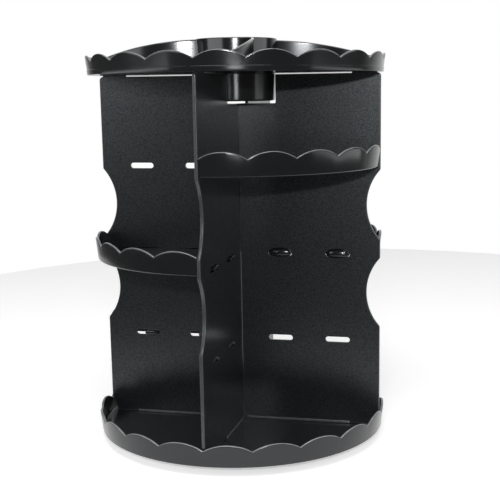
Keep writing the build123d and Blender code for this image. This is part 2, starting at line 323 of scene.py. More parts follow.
finishes = {
    "panel_plastic": finish(
        "satin_panel_plastic", (0.0054, 0.0060, 0.0066), (0.0070, 0.0078, 0.0086),
        roughness=0.30, uneven=0.06, grain=1000.0, bump=0.040 * mm, spread=2.6, painted_highlight=0.10,
        IOR=1.54, Specular_Tint=(0.80, 0.94, 1.0, 1.0),
    ),
    "tray_plastic": finish(
        "smooth_tray_plastic", (0.0066, 0.0069, 0.0074), (0.0080, 0.0084, 0.0090),
        roughness=0.16, uneven=0.03, painted_highlight=0.75, IOR=1.56, Specular_Tint=(0.95, 0.98, 1.0, 1.0),
    ),
    "base_plastic": finish(
        "matt_base_plastic", (0.0100, 0.0100, 0.0105), (0.0140, 0.0140, 0.0145),
        roughness=0.62, uneven=0.06, grain=1100.0, bump=0.030 * mm, IOR=1.49,
    ),
    "natural_plastic": finish(
        "slippery_natural_plastic", (0.70, 0.68, 0.61), (0.76, 0.74, 0.68),
        roughness=0.38, uneven=0.05, grain=700.0, bump=0.010 * mm, IOR=1.51,
    ),
    "steel": finish(
        "bright_steel", (0.58, 0.58, 0.59), (0.66, 0.66, 0.67),
        roughness=0.22, uneven=0.08, grain=2500.0, bump=0.004 * mm, Metallic=1.0,
    ),
    "foot_rubber": finish(
        "soft_foot_rubber", (0.018, 0.018, 0.019), (0.026, 0.026, 0.027),
        roughness=0.82, uneven=0.06, grain=1300.0, bump=0.040 * mm, IOR=1.52,
    ),
}
print("finishes", sorted(finishes))

# %% [markdown]
# ## Surfaces from arrays
# Most of this object is a section carried round the turning axis, so the helpers work on whole arrays. A
# surface is a grid of points, rows by columns, and the quads between neighbours follow from the grid alone.
# Points that coincide, at a pole or a seam, are merged afterwards, which closes the shell.

# %% Mesh helpers
smooth_limit = np.radians(34.0)
merge_distance = 0.002 * mm
shells = {}


def grid_quads(rows, columns, around=False):
    """Corner numbers of the quads between neighbours; around joins the last column to the first."""
    row = np.arange(rows - 1)[:, None]
    column = np.arange(columns if around else columns - 1)[None, :]
    beside = (column + 1) % columns
    first, second = row * columns, (row + 1) * columns
    quads = np.broadcast_arrays(first + column, first + beside, second + beside, second + column)
    return np.stack(quads, -1).reshape(-1, 4)


def add_shell(name, points, *faces, edge=0.0):
    """Keep one closed shell of a piece: its points, its faces as arrays of corner numbers, and a mask
    that is 1 at the points on an edge that gets the painted highlight."""
    faces = [corners for group in faces for corners in np.asarray(group).tolist()]
    edge = np.broadcast_to(edge, points.shape[:-1]).ravel()
    shells.setdefault(name, []).append((points.reshape(-1, 3), faces, edge))


def make_piece(name, slot, *nodes):
    """Mesh object at the origin from the kept shells of a piece, standing for its nodes."""
    points, faces, edges = zip(*shells.pop(name))
    counts = np.cumsum([0] + [len(group) for group in points])
    faces = [[corner + first for corner in face] for first, group in zip(counts, faces) for face in group]
    mesh = bpy.data.meshes.new(name)
    mesh.from_pydata(np.concatenate(points).tolist(), [], faces)
    # The edge mask is kept as an attribute that places the painted edge highlight
    mesh.attributes.new("edge", "FLOAT", "POINT").data.foreach_set("value", np.concatenate(edges))
    work = bmesh.new()
    work.from_mesh(mesh)
    bmesh.ops.remove_doubles(work, verts=work.verts, dist=merge_distance)
    bmesh.ops.recalc_face_normals(work, faces=work.faces)
    work.to_mesh(mesh)
    work.free()
    mesh.shade_smooth()
    mesh.set_sharp_from_angle(angle=smooth_limit)
    mesh.materials.append(finishes[slot])
    piece = bpy.data.objects.new(name, mesh)
    bpy.context.scene.collection.objects.link(piece)
    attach(piece, "carousel")
    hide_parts(*nodes)
    print(name, len(mesh.vertices), "points")


print("shading breaks past", round(np.degrees(smooth_limit)), "degrees")

# %% [markdown]
# ## Outlines
# No moulded corner is dead sharp, so a section is written down as a few plain corners and then eased. A
# bevel modifier could round the finished mesh, but easing the section first gives each corner its own
# radius and keeps the grid regular.

# %% Outline helpers


def eased(corners, radii, steps=6):
    """Outline through corners, each one eased by a parabola that is tangent to both its runs.
    The parabola leaves its run at the radius times the tangent of half the turn before the corner."""
    corners = np.array(corners, float)
    share = np.linspace(0, 1, steps + 1)[:, None]
    outline = [corners[:1]]
    for before, corner, after, radius in zip(corners, corners[1:], corners[2:], radii):
        back = (before - corner) / np.linalg.norm(before - corner)
        on = (after - corner) / np.linalg.norm(after - corner)
        reach = radius * np.tan((np.pi - np.arccos(np.clip(back @ on, -1, 1))) / 2)
        start, end = corner + reach * back, corner + reach * on
        curve = (1 - share) ** 2 * start + 2 * share * (1 - share) * corner + share**2 * end
        outline.append(curve if radius else corner[None])
    return np.concatenate(outline + [corners[-1:]])


def inward(loop):
    """Unit normals of a closed outline that runs counter-clockwise, pointing into it."""
    run = np.roll(loop, -1, 0) - np.roll(loop, 1, 0)
    return np.stack([-run[:, 1], run[:, 0]], -1) / np.linalg.norm(run, axis=1)[:, None]


def turned(points, quarter_turns):
    """Points turned about the axis by quarters of a turn."""
    angle = quarter_turns * np.pi / 2
    spin = np.array([[np.cos(angle), np.sin(angle), 0], [-np.sin(angle), np.cos(angle), 0], [0, 0, 1]])
    return points @ spin


print("outline helpers ready")

# %% [markdown]
# ## The scalloped rim
# All trays share one rim: twenty arches round the full turn that meet in sharp valleys, on a wall that leans
# outwards. It could be cut with a row of cylinders, but a formula is cleaner: the section of the tray is
# carried round the axis, and each of its points is lifted by a share of the arch's height at that angle,
# nothing at the floor and all of it at the lip. The grid has a column exactly on every valley, so the
# valleys stay crisp.

# %% Scallop formula
scallop_count = 20
scallop_rise = 5.2 * mm
rim_flare = 1.8 * mm
wall = 2.0 * mm
lip_round = wall / 2
foot_round = 1.6 * mm
lip_band = 0.35 * mm
rim_zone = 0.8
scallop_angle = 2 * np.pi / scallop_count
columns_per_scallop = 24
full_turn = np.arange(scallop_count * columns_per_scallop) / columns_per_scallop * scallop_angle
Rim = namedtuple("Rim", "radius edge valley_height floor")


def scallop_lift(angle, radius):
    """Height of the lip above its valleys: a circular arch over each scallop's share of the turn."""
    across = (angle % scallop_angle) / scallop_angle * 2 - 1
    half_chord = radius * scallop_angle / 2
    arch_radius = (half_chord**2 + scallop_rise**2) / (2 * scallop_rise)
    return np.sqrt(arch_radius**2 - (across * half_chord) ** 2) - (arch_radius - scallop_rise)


def wall_lean(rim):
    """How far the wall leans out for each metre it rises: the flare over the height of a crest."""
    return rim_flare / (rim.valley_height + scallop_rise)


def wall_share(section, rim):
    """Share of the lift that each point of a tray's section takes: none at the floor, all at the lip."""
    foot = rim.edge + rim.floor + wall
    lip = rim.edge + rim.valley_height - wall / 2
    share = np.clip((section[:, 1] - foot) / (lip - foot), 0, 1)
    return np.where(section[:, 0] > rim_zone * rim.radius, share, 0)


def rim_corners(rim):
    """Four corners of a tray's section: foot of the wall, lip outside and inside, foot inside."""
    valley = rim.edge + rim.valley_height
    lip_radius = rim.radius + wall_lean(rim) * rim.valley_height
    inside = rim.radius + wall_lean(rim) * rim.floor - wall
    foot_inside = (inside, rim.edge + rim.floor)
    return [(rim.radius, rim.edge), (lip_radius, valley), (lip_radius - wall, valley), foot_inside]


def on_lip(section, rim):
    """Column that is true for the points of a section on the lip: near its top and out at the rim."""
    high = section[:, 1:] > rim.edge + rim.valley_height - lip_band
    return high & (section[:, :1] > rim_zone * rim.radius)


def carried_round(section, angles, rim):
    """Section carried round the axis: rows follow the section, columns the angles. Each point rises by
    its share of the scallop's lift and moves outwards by the wall's lean times that rise."""
    rise = wall_share(section, rim)[:, None] * scallop_lift(angles, rim.radius)[None, :]
    reach = section[:, :1] + wall_lean(rim) * rise
    return np.stack([reach * np.cos(angles), reach * np.sin(angles), section[:, 1:] + rise], -1)


print("rim columns", len(full_turn), "arch", round(scallop_rise / mm, 1), "mm high")

# %% [markdown]
# ## Bottom tray
# The bottom tray carries everything that turns. Its section starts in the screw hole under the middle, goes
# round the spindle, over the ball groove and the rounded lower edge, up the wall, over the lip and back
# along the floor. Carried round the axis it is one closed shell. The low ribs that hold the panels' feet
# are small plates with round ends, so they wait for the plate helper further down.

# %% Bottom tray
bottom_low, bottom_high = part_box("bottom_tray")
bottom_valley_height = 12.2 * mm
bottom_edge = bottom_high.z - bottom_valley_height - scallop_rise
bottom_rim = Rim(radius=113.8 * mm, edge=bottom_edge, valley_height=bottom_valley_height, floor=2.0 * mm)
floor_top = bottom_edge + bottom_rim.floor
tray_foot_round = 1.2 * mm
spindle_radius, spindle_round = 6.0 * mm, 0.4 * mm
pilot_radius, pilot_cover, pilot_round = 1.8 * mm, 1.0 * mm, 0.3 * mm
groove_radius, groove_half_width = 56.0 * mm, 1.4 * mm
groove_depth, groove_round = 0.4 * mm, 1.2 * mm

bottom_section = eased(
    [
        (0, floor_top - pilot_cover),
        (pilot_radius, floor_top - pilot_cover),
        (pilot_radius, bottom_low.z),
        (spindle_radius, bottom_low.z),
        (spindle_radius, bottom_edge),
        (groove_radius - groove_half_width, bottom_edge),
        (groove_radius, bottom_edge + 2 * groove_depth),
        (groove_radius + groove_half_width, bottom_edge),
        *rim_corners(bottom_rim),
        (0, floor_top),
    ],
    [
        0, pilot_round, spindle_round, spindle_round, 0, groove_round, 0, tray_foot_round,
        lip_round, lip_round, foot_round,
    ],
)
points = carried_round(bottom_section, full_turn, bottom_rim)
quads = grid_quads(*points.shape[:2], around=True)
# The lip is marked for the painted edge highlight
add_shell("bottom_tray_moulding", points, quads, edge=on_lip(bottom_section, bottom_rim))
print("bottom tray edge at", round(bottom_edge / mm, 2), "mm, crest at", round(bottom_high.z / mm, 2), "mm")

# %% [markdown]
# ## Top tray and brush cup
# The top tray, the tapered cup through its middle and the four fins are one moulding. Tray and cup share one
# section: under the cup, up its outside, out along the tray, round the rim, back over the floor and up and
# over the cup's lip to its inside. The rim stands on a low foot band that is a little proud of the wall, and
# the rounded top of that band draws a thin line of light round the tray.

# %% Top tray and cup
cup_bottom, cup_top = (corner.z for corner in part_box("top_tray"))
cup_below = 20.8 * mm
cup_wall, cup_floor = 2.0 * mm, 2.5 * mm
cup_top_radius, cup_bottom_radius = 32.0 * mm, 30.0 * mm
cup_inside = cup_bottom + cup_floor
cup_foot_round, cup_inside_round, cup_lip_band = 1.5 * mm, 3.0 * mm, 0.3 * mm
cup_under_round, cup_over_round = 0.5 * mm, 1.2 * mm
top_edge = cup_bottom + cup_below
top_rim = Rim(radius=113.8 * mm, edge=top_edge, valley_height=9.3 * mm, floor=3.0 * mm)
top_floor = top_edge + top_rim.floor
band_height, band_proud, band_step = 3.5 * mm, 0.3 * mm, 0.3 * mm
band_rounds = [0.4 * mm, 0.22 * mm, 0.1 * mm]


def cup_radius(height):
    """Outside radius of the tapered cup at a height."""
    return np.interp(height, [cup_bottom, cup_top], [cup_bottom_radius, cup_top_radius])


top_wall = rim_corners(top_rim)[1:]
band_radius = np.interp(band_height, [0, top_rim.valley_height], [top_rim.radius, top_wall[0][0]])
top_section = eased(
    [
        (0, cup_bottom),
        (cup_bottom_radius, cup_bottom),
        (cup_radius(top_edge), top_edge),
        (top_rim.radius + band_proud, top_edge),
        (band_radius + band_proud, top_edge + band_height),
        (band_radius, top_edge + band_height + band_step),
        *top_wall,
        (cup_radius(top_floor), top_floor),
        (cup_top_radius, cup_top),
        (cup_top_radius - cup_wall, cup_top),
        (cup_radius(cup_inside) - cup_wall, cup_inside),
        (0, cup_inside),
    ],
    [
        cup_foot_round, cup_under_round, *band_rounds, lip_round, lip_round, foot_round, cup_over_round,
        lip_round, lip_round, cup_inside_round,
    ],
)
points = carried_round(top_section, full_turn, top_rim)
quads = grid_quads(*points.shape[:2], around=True)
# The lips of the rim and of the cup are marked for the painted edge highlight
lips = on_lip(top_section, top_rim) | (top_section[:, 1:] > cup_top - cup_lip_band)
add_shell("top_tray_moulding", points, quads, edge=lips)
print("top tray edge at", round(top_edge / mm, 2), "mm, cup lip at", round(cup_top / mm, 2), "mm")

# %% [markdown]
# ## Fins of the top tray
# Four thin fins run from the cup to the rim and divide the tray. They are bowed sideways, so light catches
# each of them in one soft patch, and their tops fall from the cup's lip to the rim. A flat plate could be
# bent with a modifier, but two parabolas say it in one formula: one for the bow, one for the top. Each fin
# is a closed shell whose ends lie inside the cup's wall and the rim's wall, so nothing shows beyond them.

# %% Fins
fin_offset = 18.5 * mm
fin_half = 1.0 * mm
fin_cup_drop = 0.5 * mm
fin_rim_height = 9.7 * mm
fin_bulge = 3.5 * mm
fin_bow = 8.5 * mm
fin_base = top_edge + top_rim.floor / 2
fin_steps, crown_columns = 40, 13
crown_hold = 0.3
# Columns on each side of the crown's middle that get the painted edge highlight
crown_highlight_reach = 4


def fin_points():
    """Fin along -Y: a section with a round top, carried from the cup's wall to the rim's wall. Along the
    way the top follows a straight fall plus a parabola that is highest half way, and the whole fin moves
    sideways by another such parabola. A point below the crown on each side keeps its shading flat."""
    along = np.linspace(0, 1, fin_steps)[:, None]
    parabola = 4 * along * (1 - along)
    bend = np.linspace(0, np.pi, crown_columns)
    across = fin_offset - fin_half * np.cos(np.concatenate([[0.0, 0.0], bend, [np.pi, np.pi]]))
    crown = np.concatenate([[0.0, -crown_hold], np.sin(bend), [-crown_hold, 0.0]])
    upright = np.concatenate([[0.0, 1.0], np.ones(crown_columns), [1.0, 0.0]])
    fall = np.interp(along, [0, 1], [cup_top - fin_cup_drop, top_edge + fin_rim_height])
    top = fall + fin_bulge * parabola - fin_half
    height = fin_base + upright * (top - fin_base) + crown * fin_half
    from_cup = np.sqrt((cup_radius(height) - cup_wall / 2) ** 2 - across**2)
    to_rim = np.sqrt((top_rim.radius - wall / 2) ** 2 - across**2)
    return np.stack([across + fin_bow * parabola, -(from_cup + along * (to_rim - from_cup)), height], -1)


def end_fans(rows, columns):
    """Faces that close the first and the last row of a grid whose columns go round."""
    first = np.arange(columns)
    return [first.tolist(), (first + (rows - 1) * columns)[::-1].tolist()]


one_fin = fin_points()
fin_size = one_fin.shape[:2]
fin_crown = np.abs(np.arange(fin_size[1]) - (fin_size[1] - 1) / 2) < crown_highlight_reach
fin_faces = grid_quads(*fin_size, around=True), end_fans(*fin_size)
for quarter in range(4):
    add_shell("top_tray_moulding", turned(one_fin, quarter), *fin_faces, edge=fin_crown)
make_piece("top_tray_moulding", "tray_plastic", "top_tray")

# %% [markdown]
# ## Quarter trays
# A quarter tray is the same rim over a quarter of the turn, cut straight along the two panels. The section
# is still carried round the axis, but at each radius the angle runs only between the two straight sides: a
# side that passes the axis at a distance d starts at the angle whose sine is d over the radius. The last
# column at each side is drawn in a little, which rounds the cut edge.

# %% Quarter tray shell
quarter_radius = 111.6 * mm
quarter_valley_height = 12.4 * mm
quarter_floor = 2.5 * mm
quarter_side_gap = 0.65 * mm
quarter_inner, quarter_inner_round = 6.2 * mm, 0.6 * mm
side_ease = 0.4 * mm
panel_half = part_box("panel_left_right")[1].y
quarter_side = panel_half + quarter_side_gap


def quarter_section(rim):
    """Closed section of a quarter tray, which starts and ends in the middle of its inner edge."""
    middle = (quarter_inner, rim.edge + rim.floor / 2)
    low, high = (quarter_inner, rim.edge), (quarter_inner, rim.edge + rim.floor)
    rounds = [quarter_inner_round, tray_foot_round, lip_round, lip_round, foot_round, quarter_inner_round]
    return eased([middle, low, *rim_corners(rim), high, middle], rounds)[:-1]


def quarter_shell(edge):
    """Quarter tray at a height: the rim section carried between two straight sides, with its lip mask."""
    rim = Rim(quarter_radius, edge, quarter_valley_height, quarter_floor)
    section = quarter_section(rim)
    columns = np.linspace(0, 1, scallop_count // 4 * columns_per_scallop + 1)[1:-1]
    along = np.concatenate([[0, 0], columns, [1, 1]])
    side = np.full(len(along), quarter_side + side_ease)
    side[[0, -1]] = quarter_side
    rim_start = np.arcsin(side / quarter_radius)
    rim_angle = rim_start + along * (np.pi / 2 - 2 * rim_start)
    rim_angle[2:-2] = along[2:-2] * np.pi / 2
    rise = wall_share(section, rim)[:, None] * scallop_lift(rim_angle, quarter_radius)[None, :]
    inset = section + side_ease * inward(section)
    ends = np.isin(np.arange(len(along)), [0, len(along) - 1])
    reach = np.where(ends, inset[:, :1], section[:, :1]) + wall_lean(rim) * rise
    height = np.where(ends, inset[:, 1:], section[:, 1:]) + rise
    start = np.arcsin(side / reach)
    stretch = (rim_angle - rim_start) / (np.pi / 2 - 2 * rim_start)
    angle = start + stretch * (np.pi / 2 - 2 * start)
    points = np.stack([reach * np.cos(angle), reach * np.sin(angle), height], -1)
    lip = on_lip(section, rim)
    return np.vstack([points, points[:1]]), np.vstack([lip, lip[:1]])


def side_ladders(rows, columns):
    """Quads that close the two cut sides, between points that face each other across the wall."""
    near = np.arange((rows - 1) // 2)
    far = rows - 1 - near
    ladder = np.stack([near, near + 1, far - 1, far], -1) * columns
    return [ladder, ladder + columns - 1]


print("quarter tray sides stand", round(quarter_side / mm, 2), "mm from the panels' middle planes")

# %% [markdown]
# ## Tongues and lugs
# Each quarter tray hangs by two tongues with a rounded snap nose on one straight side and two plain lugs on
# the other, all pushed through slots of the panels. Both are one idea: a closed curve carried straight along
# -Y, drawn in towards its end by a quarter ellipse so that the end is domed, and shut at the root inside the
# tray's floor.

# %% Tongue shells
slot_length, slot_height = 19.5 * mm, 4.4 * mm
slot_centres = np.array([33.4, 79.6]) * mm
tongue_thickness = 3.8 * mm
tongue_width, tongue_end_gap, tongue_root = 13.0 * mm, 1.75 * mm, 6.0 * mm
nose_width, nose_rise, nose_drop = 18.4 * mm, 4.4 * mm, 2.8 * mm
nose_gap, nose_length, nose_shift = 0.2 * mm, 3.2 * mm, 1.9 * mm
lug_width, lug_end_gap, lug_reach = 11.0 * mm, 0.4 * mm, 2.0 * mm
neck_dome, nose_dome, lug_dome = 0.2 * mm, 2.2 * mm, 0.7 * mm
bar_power, nose_power = 0.55, 0.85
seat_play = 0.05 * mm
curve_columns, dome_steps = 48, 8
curve_angles = np.linspace(0, 2 * np.pi, curve_columns, endpoint=False)


def oval(width, rise, drop, power):
    """Closed curve with its own height above and below its middle line; a low power squares its ends."""
    across, over = np.cos(curve_angles), np.sin(curve_angles)
    height = np.where(over > 0, rise, drop) * np.sign(over) * np.abs(over) ** power
    return np.stack([width / 2 * np.sign(across) * np.abs(across) ** power, height], -1)


def domed_bar(curve, start, end, depth):
    """Curve carried along -Y from start to end and shut at a point at both ends. Over the last depth its
    scale falls from one to nothing along a quarter ellipse."""
    bend = np.linspace(0, np.pi / 2, dome_steps)
    steps = np.concatenate([[start, start], end - depth + depth * np.sin(bend)])
    scale = np.concatenate([[0.0, 1.0], np.cos(bend)])
    flat = scale[:, None, None] * curve[None]
    return np.stack([flat[..., 0], np.broadcast_to(-steps[:, None], flat.shape[:2]), flat[..., 1]], -1)


def tongue_shells(level):
    """Grids of one tongue's neck and nose and of one lug at a level, pointing along -Y at the axis."""
    rest = (tongue_thickness - slot_height) / 2 + seat_play
    root = -(quarter_side + tongue_root)
    half_thick = tongue_thickness / 2
    nose_start = panel_half + nose_gap
    tongue_curve = oval(tongue_width, half_thick, half_thick, bar_power)
    nose_curve = oval(nose_width, nose_rise, nose_drop, nose_power)
    lug_curve = oval(lug_width, half_thick, half_thick, bar_power)
    neck = domed_bar(tongue_curve, root, nose_start, neck_dome)
    nose = domed_bar(nose_curve, nose_start, nose_start + nose_length, nose_dome)
    lug = domed_bar(lug_curve, root, panel_half + lug_reach, lug_dome)
    return neck + (0, 0, level + rest), nose + (nose_shift, 0, level), lug + (0, 0, level + rest)


tongue_shift = (slot_length - tongue_width) / 2 - tongue_end_gap
lug_shift = (slot_length - lug_width) / 2 - lug_end_gap
shifts = [round(shift / mm, 2) for shift in (tongue_shift, lug_shift)]
print("tongues and lugs stand", shifts, "mm off the slots' middles")

# %% [markdown]
# ## Four quarter trays
# The four trays are one moulding, hung in four bays at different heights, so one loop makes them all. Each
# is built in the first bay at the height of its own node and turned by quarters into place. The heights of
# the tongues are kept, because the panels need their slots there.

# %% Four quarter trays
quarter_drop = 0.4 * mm
bays = ("back_right", "back_left", "front_left", "front_right")
hung_levels = []
for quarter, bay in enumerate(bays):
    node, piece = f"tray_{bay}", f"quarter_tray_{bay}"
    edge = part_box(node)[1].z - quarter_valley_height - scallop_rise
    hung_levels.append(edge + quarter_drop)
    shell, lip = quarter_shell(edge)
    size = shell.shape[:2]
    # The lip is marked for the painted edge highlight
    add_shell(piece, turned(shell, quarter), grid_quads(*size), *side_ladders(*size), edge=lip)
    neck, nose, lug = tongue_shells(edge + quarter_drop)
    for centre in slot_centres:
        for part in (neck, nose):
            moved = turned(part + (centre - tongue_shift, 0, 0), quarter)
            add_shell(piece, moved, grid_quads(*part.shape[:2], around=True))
        moved = turned(lug, -1) + (0, centre - lug_shift, 0)
        add_shell(piece, turned(moved, quarter), grid_quads(*lug.shape[:2], around=True))
    make_piece(piece, "tray_plastic", node)
levels = sorted(set(np.round(hung_levels, 6)))
print("levels", [round(level / mm, 2) for level in levels], "mm")

# %% [markdown]
# ## Plates
# Panels and ribs are flat plates. A plate is its outline carried round its own edge: each ring of the edge is
# the outline drawn in by one minus the cosine of the edge's turn. The flat faces between the outline and the
# slots are filled by Blender's polygon filler. Small round pits between the slots are bowls sunk into both
# faces. The outline is walked at an even pace first and its fast wiggles are faded out, which rounds every
# corner alike.

# %% Plate outline
walk_step = 0.6 * mm


def walked(corners, softness):
    """Closed outline walked at an even pace, with its corners softened by a Gaussian on its frequencies."""
    loop = np.vstack([corners, corners[:1]])
    gone = np.concatenate([[0], np.cumsum(np.linalg.norm(np.diff(loop, axis=0), axis=1))])
    count = int(np.ceil(gone[-1] / walk_step))
    pace = np.arange(count) / count * gone[-1]
    even = np.interp(pace, gone, loop[:, 0]) + 1j * np.interp(pace, gone, loop[:, 1])
    waves = 2 * np.pi * np.fft.fftfreq(count, gone[-1] / count)
    soft = np.fft.ifft(np.fft.fft(even) * np.exp(-((waves * softness) ** 2) / 2))
    return np.stack([soft.real, soft.imag], -1)


def stadium(length, width, bend):
    """Long hole or rib with round ends, whose first end is walked through the angles of the bend."""
    cap = np.stack([np.cos(bend), np.sin(bend)], -1) * width / 2
    end = ((length - width) / 2, 0)
    return np.vstack([cap + end, -cap - end])


print("outlines are walked in steps of", round(walk_step / mm, 2), "mm")

# %% Plate helper
edge_ease, slot_ease = 0.55 * mm, 0.25 * mm
ease_past = 1.5
pit_radius, pit_depth = 0.9 * mm, 0.3 * mm
edge_steps, pit_steps, pit_spokes = 5, 5, 16


def edge_rings(loop, half, ease):
    """Rings round a loop from one face to the other: at a turn a, the ring is drawn in by ease times one
    minus cosine a and stands at half minus ease plus ease times sine a. A loop that runs clockwise is a
    hole, and drawing in widens its mouths. One more ring on each face keeps the face's shading flat."""
    bend = np.linspace(0, np.pi / 2, edge_steps)
    rise = np.concatenate([half - ease + ease * np.sin(bend), [half]])
    depth = np.concatenate([ease * (1 - np.cos(bend)), [ease_past * ease]])
    height = np.broadcast_to(np.concatenate([-rise[::-1], rise])[:, None], (2 * len(rise), len(loop)))
    rings = loop[None] + np.concatenate([depth[::-1], depth])[:, None, None] * inward(loop)[None]
    return np.concatenate([rings, height[..., None]], -1)


def pit_rings(centre, level, half):
    """Rings of two bowls sunk into both faces: at a share s of the pit's radius, the bowl is as deep as
    the pit's depth times one minus s to the fourth. The first half of the rings is the back's bowl."""
    turn = np.linspace(2 * np.pi, 0, pit_spokes, endpoint=False)
    share = np.linspace(1, 0, pit_steps)
    rings = pit_radius * share[:, None, None] * np.stack([np.cos(turn), np.sin(turn)], -1) + (centre, level)
    sunk = np.broadcast_to((half - pit_depth * (1 - share**4))[:, None], rings.shape[:2])
    back = np.concatenate([rings, -sunk[..., None]], -1)
    return np.concatenate([back, back[::-1] * (1, 1, -1)])


def plate(outline, holes, pits, half, ease, hole_ease):
    """Plate with eased edges, holes and pits: its points, its faces and the mask of its outer edge."""
    stacks = [edge_rings(outline, half, ease), *(edge_rings(hole, half, hole_ease) for hole in holes)]
    stacks += [pit_rings(centre, level, half) for centre, level in pits]
    sizes = [stack.shape[:2] for stack in stacks]
    starts = np.cumsum([0] + [rings * count for rings, count in sizes])
    faces = [grid_quads(*size, around=True) + start for size, start in zip(sizes, starts)]
    for number in range(len(stacks) - len(pits), len(stacks)):
        rings, count = sizes[number]
        faces[number] = np.delete(faces[number], np.arange(count) + (rings // 2 - 1) * count, 0)
    back = [start + np.arange(count) for (rings, count), start in zip(sizes, starts)]
    front = [lid + (rings - 1) * count for (rings, count), lid in zip(sizes, back)]
    points = np.concatenate([stack.reshape(-1, 3) for stack in stacks])
    filled = np.array(tessellate_polygon([points[lid].tolist() for lid in back]))
    # The rings of the outer edge are marked for the painted edge highlight
    painted_highlight = np.zeros(len(points))
    painted_highlight[sizes[0][1] : starts[1] - sizes[0][1]] = 1.0
    return points, [*faces, np.concatenate(back)[filled], np.concatenate(front)[filled]], painted_highlight


print("plates have edges eased by", round(edge_ease / mm, 2), "mm")

# %% [markdown]
# ## Panels
# The two panels have scooped outer edges, a foot that stands in the bottom tray, tabs in the top tray, a
# notch for the cup, slots for the quarter trays and a slit where they cross. One outline serves both, because
# only the slit differs: it is open at the floor in one panel and at the notch in the other. Half of the
# outline is written down, and its mirror image closes it.

# %% Panel outline
panel_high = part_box("panel_left_right")[1]
panel_reach = panel_high.x
panel_gap = 0.7 * mm
panel_top = top_edge - panel_gap
shoulder_gap, shoulder_play, foot_taper = 1.0 * mm, 0.08 * mm, 3.2 * mm
shoulder = bottom_edge + bottom_valley_height + shoulder_gap
shoulder_reach = bottom_rim.radius - wall - shoulder_play
foot_reach = shoulder_reach - foot_taper
corner_chamfer, corner_softness = 1.5 * mm, 0.5 * mm
scoop_depth = 10.5 * mm
bump_below, bump_above = 2.6 * mm, 12.0 * mm
tab_inner, tab_outer = 91.0 * mm, 110.0 * mm
notch_side_gap, notch_under_gap = 0.4 * mm, 1.9 * mm
notch_half = cup_radius(top_edge) + notch_side_gap
notch_floor = cup_bottom - notch_under_gap
lap_rise, slit_play = 138.0 * mm, 0.25 * mm
lap_height, slit_half = floor_top + lap_rise, panel_half + slit_play
scoop_steps = 41
nothing = np.zeros((0, 2))


def scoop(low, high):
    """Arc of the outer edge between two bumps, through its deepest point half way."""
    chord = (high - low) / 2
    radius = (chord**2 + scoop_depth**2) / (2 * scoop_depth)
    turn = np.linspace(-1, 1, scoop_steps) * np.arcsin(chord / radius)
    reach = panel_reach - scoop_depth + radius - radius * np.cos(turn)
    return np.stack([reach, (low + high) / 2 + radius * np.sin(turn)], -1)


def panel_outline(slit_low, slit_high):
    """Closed outline, counter-clockwise: the right half up from the floor, then its mirror image down."""
    at_floor = slit_low <= floor_top
    right_half = np.vstack([
        [(slit_half, slit_low)] if at_floor else nothing,
        [(foot_reach, floor_top), (shoulder_reach, shoulder), (panel_reach, shoulder)],
        *[scoop(low + bump_above, high - bump_below) for low, high in zip(levels, levels[1:])],
        [(panel_reach, panel_top - corner_chamfer), (panel_reach - corner_chamfer, panel_top)],
        [(tab_outer, panel_top), (tab_outer, panel_high.z)],
        [(tab_inner, panel_high.z), (tab_inner, panel_top)],
        [(notch_half, panel_top), (notch_half, notch_floor)],
        nothing if at_floor else [(slit_half, notch_floor), (slit_half, slit_low)],
    ])
    left_half = right_half[::-1] * (-1, 1)
    closing = [(-slit_half, slit_high), (slit_half, slit_high)] if at_floor else nothing
    return walked(np.vstack([right_half, left_half, closing]), corner_softness)


print("panel reaches", round(panel_reach / mm, 1), "mm, crosses at", round(lap_height / mm, 1), "mm")

# %% Two panels
pit_place = 56.5 * mm
clockwise_bend = np.linspace(np.pi / 2, -np.pi / 2, 13)
slot = stadium(slot_length, slot_height, clockwise_bend)
slots = [slot + (side * centre, level) for level in levels for centre in slot_centres for side in (1, -1)]
pits = [(side * pit_place, level) for level in levels for side in (1, -1)]
panels = {
    "panel_left_right": panel_outline(floor_top, lap_height),
    "panel_front_back": panel_outline(lap_height, notch_floor),
}
for quarter, (node, outline) in enumerate(panels.items()):
    # The outer edges of the panels carry the painted edge highlight
    points, faces, painted_highlight = plate(outline, slots, pits, panel_half, edge_ease, slot_ease)
    upright = points[:, [0, 2, 1]] * (1, -1, 1)
    add_shell(f"{node}_board", turned(upright, quarter), *faces, edge=painted_highlight)
    make_piece(f"{node}_board", "panel_plastic", node)

# %% [markdown]
# ## Ribs of the bottom tray
# Low ribs on the floor of the bottom tray hold the feet of the panels from both sides. Each is a small plate
# with round ends, from the same helper as the panels, and stands a little way into the floor so that no gap
# shows. Now the bottom tray is complete and becomes one piece.

# %% Ribs
rib_height, rib_width, rib_ease = 2.1 * mm, 1.6 * mm, 0.5 * mm
rib_start, side_rib_end, front_rib_end = 5.0 * mm, 90.0 * mm, 57.0 * mm
# The ribs' edges carry a fifth of the painted edge highlight
rib_play, rib_sunk, rib_highlight = 0.15 * mm, 0.1 * mm, 0.2
rib_side = panel_half + rib_play + rib_width / 2
rib_bend = np.linspace(-np.pi / 2, np.pi / 2, 9)
for quarter, rib_end in enumerate(2 * (side_rib_end, front_rib_end)):
    rib = stadium(rib_end - rib_start, rib_width, rib_bend)
    points, faces, painted_highlight = plate(rib, [], [], rib_height / 2, rib_ease, 0.0)
    for side in (rib_side, -rib_side):
        moved = points + ((rib_start + rib_end) / 2, side, floor_top + rib_height / 2 - rib_sunk)
        add_shell("bottom_tray_moulding", turned(moved, quarter), *faces, edge=rib_highlight * painted_highlight)
make_piece("bottom_tray_moulding", "tray_plastic", "bottom_tray")

# %% [markdown]
# ## Base, feet and bearing
# These pieces were made to their real shape in the model and stay as they are. They only need their
# finishes: each node's slot in the record names the one it takes.

